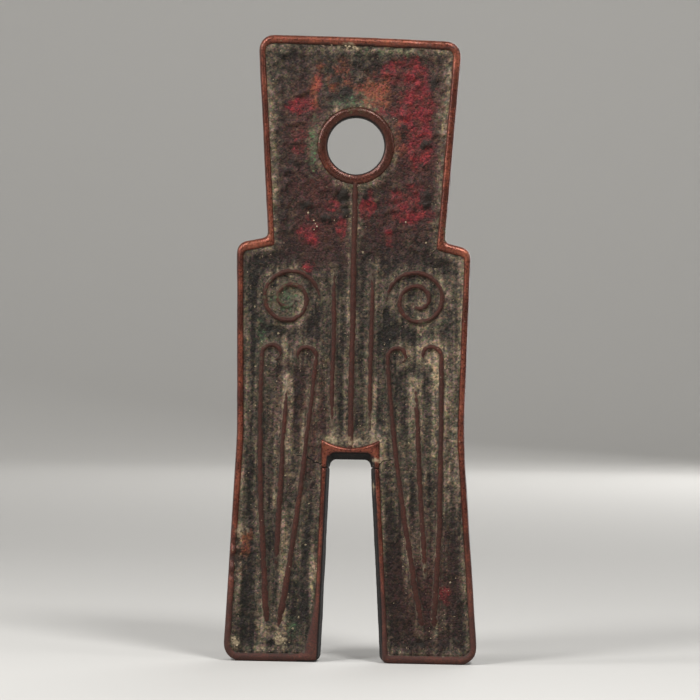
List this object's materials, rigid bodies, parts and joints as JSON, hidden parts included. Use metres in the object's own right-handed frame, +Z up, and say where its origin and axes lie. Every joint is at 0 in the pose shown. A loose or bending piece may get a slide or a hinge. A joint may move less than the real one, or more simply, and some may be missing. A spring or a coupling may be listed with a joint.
{
  "type": "spade coin",
  "caption": "Flat cast bronze coin in the shape of a spade, with a pierced head, square shoulders, forked legs, a raised rim and raised line ornament on its face.",
  "frame": {"origin": "on the ground between the feet, at the middle of the coin's width and thickness", "axes": "+Z up the coin from its feet to its head, +X to the right seen from the face, and the face looks along -Y"},
  "size_m": [0.0235, 0.0028, 0.058],
  "materials": {
    "worn_rim": "handled brown bronze with a soft shine",
    "crusted_field": "dark patina under dry buff soil, with red and green corrosion",
    "raised_lines": "handled brown bronze, darker than the rim"
  },
  "bodies": {
    "root": {"outer_rim": "worn_rim", "crotch_bar": "worn_rim", "hole_collar": "worn_rim", "field": "crusted_field", "front_ridge": "raised_lines", "back_ridge": "raised_lines", "left_flank_line": "raised_lines", "right_flank_line": "raised_lines", "left_whorl": "raised_lines", "right_whorl": "raised_lines", "left_leaf": "raised_lines", "right_leaf": "raised_lines", "left_leaf_rib": "raised_lines", "right_leaf_rib": "raised_lines"}
  },
  "joints": []
}
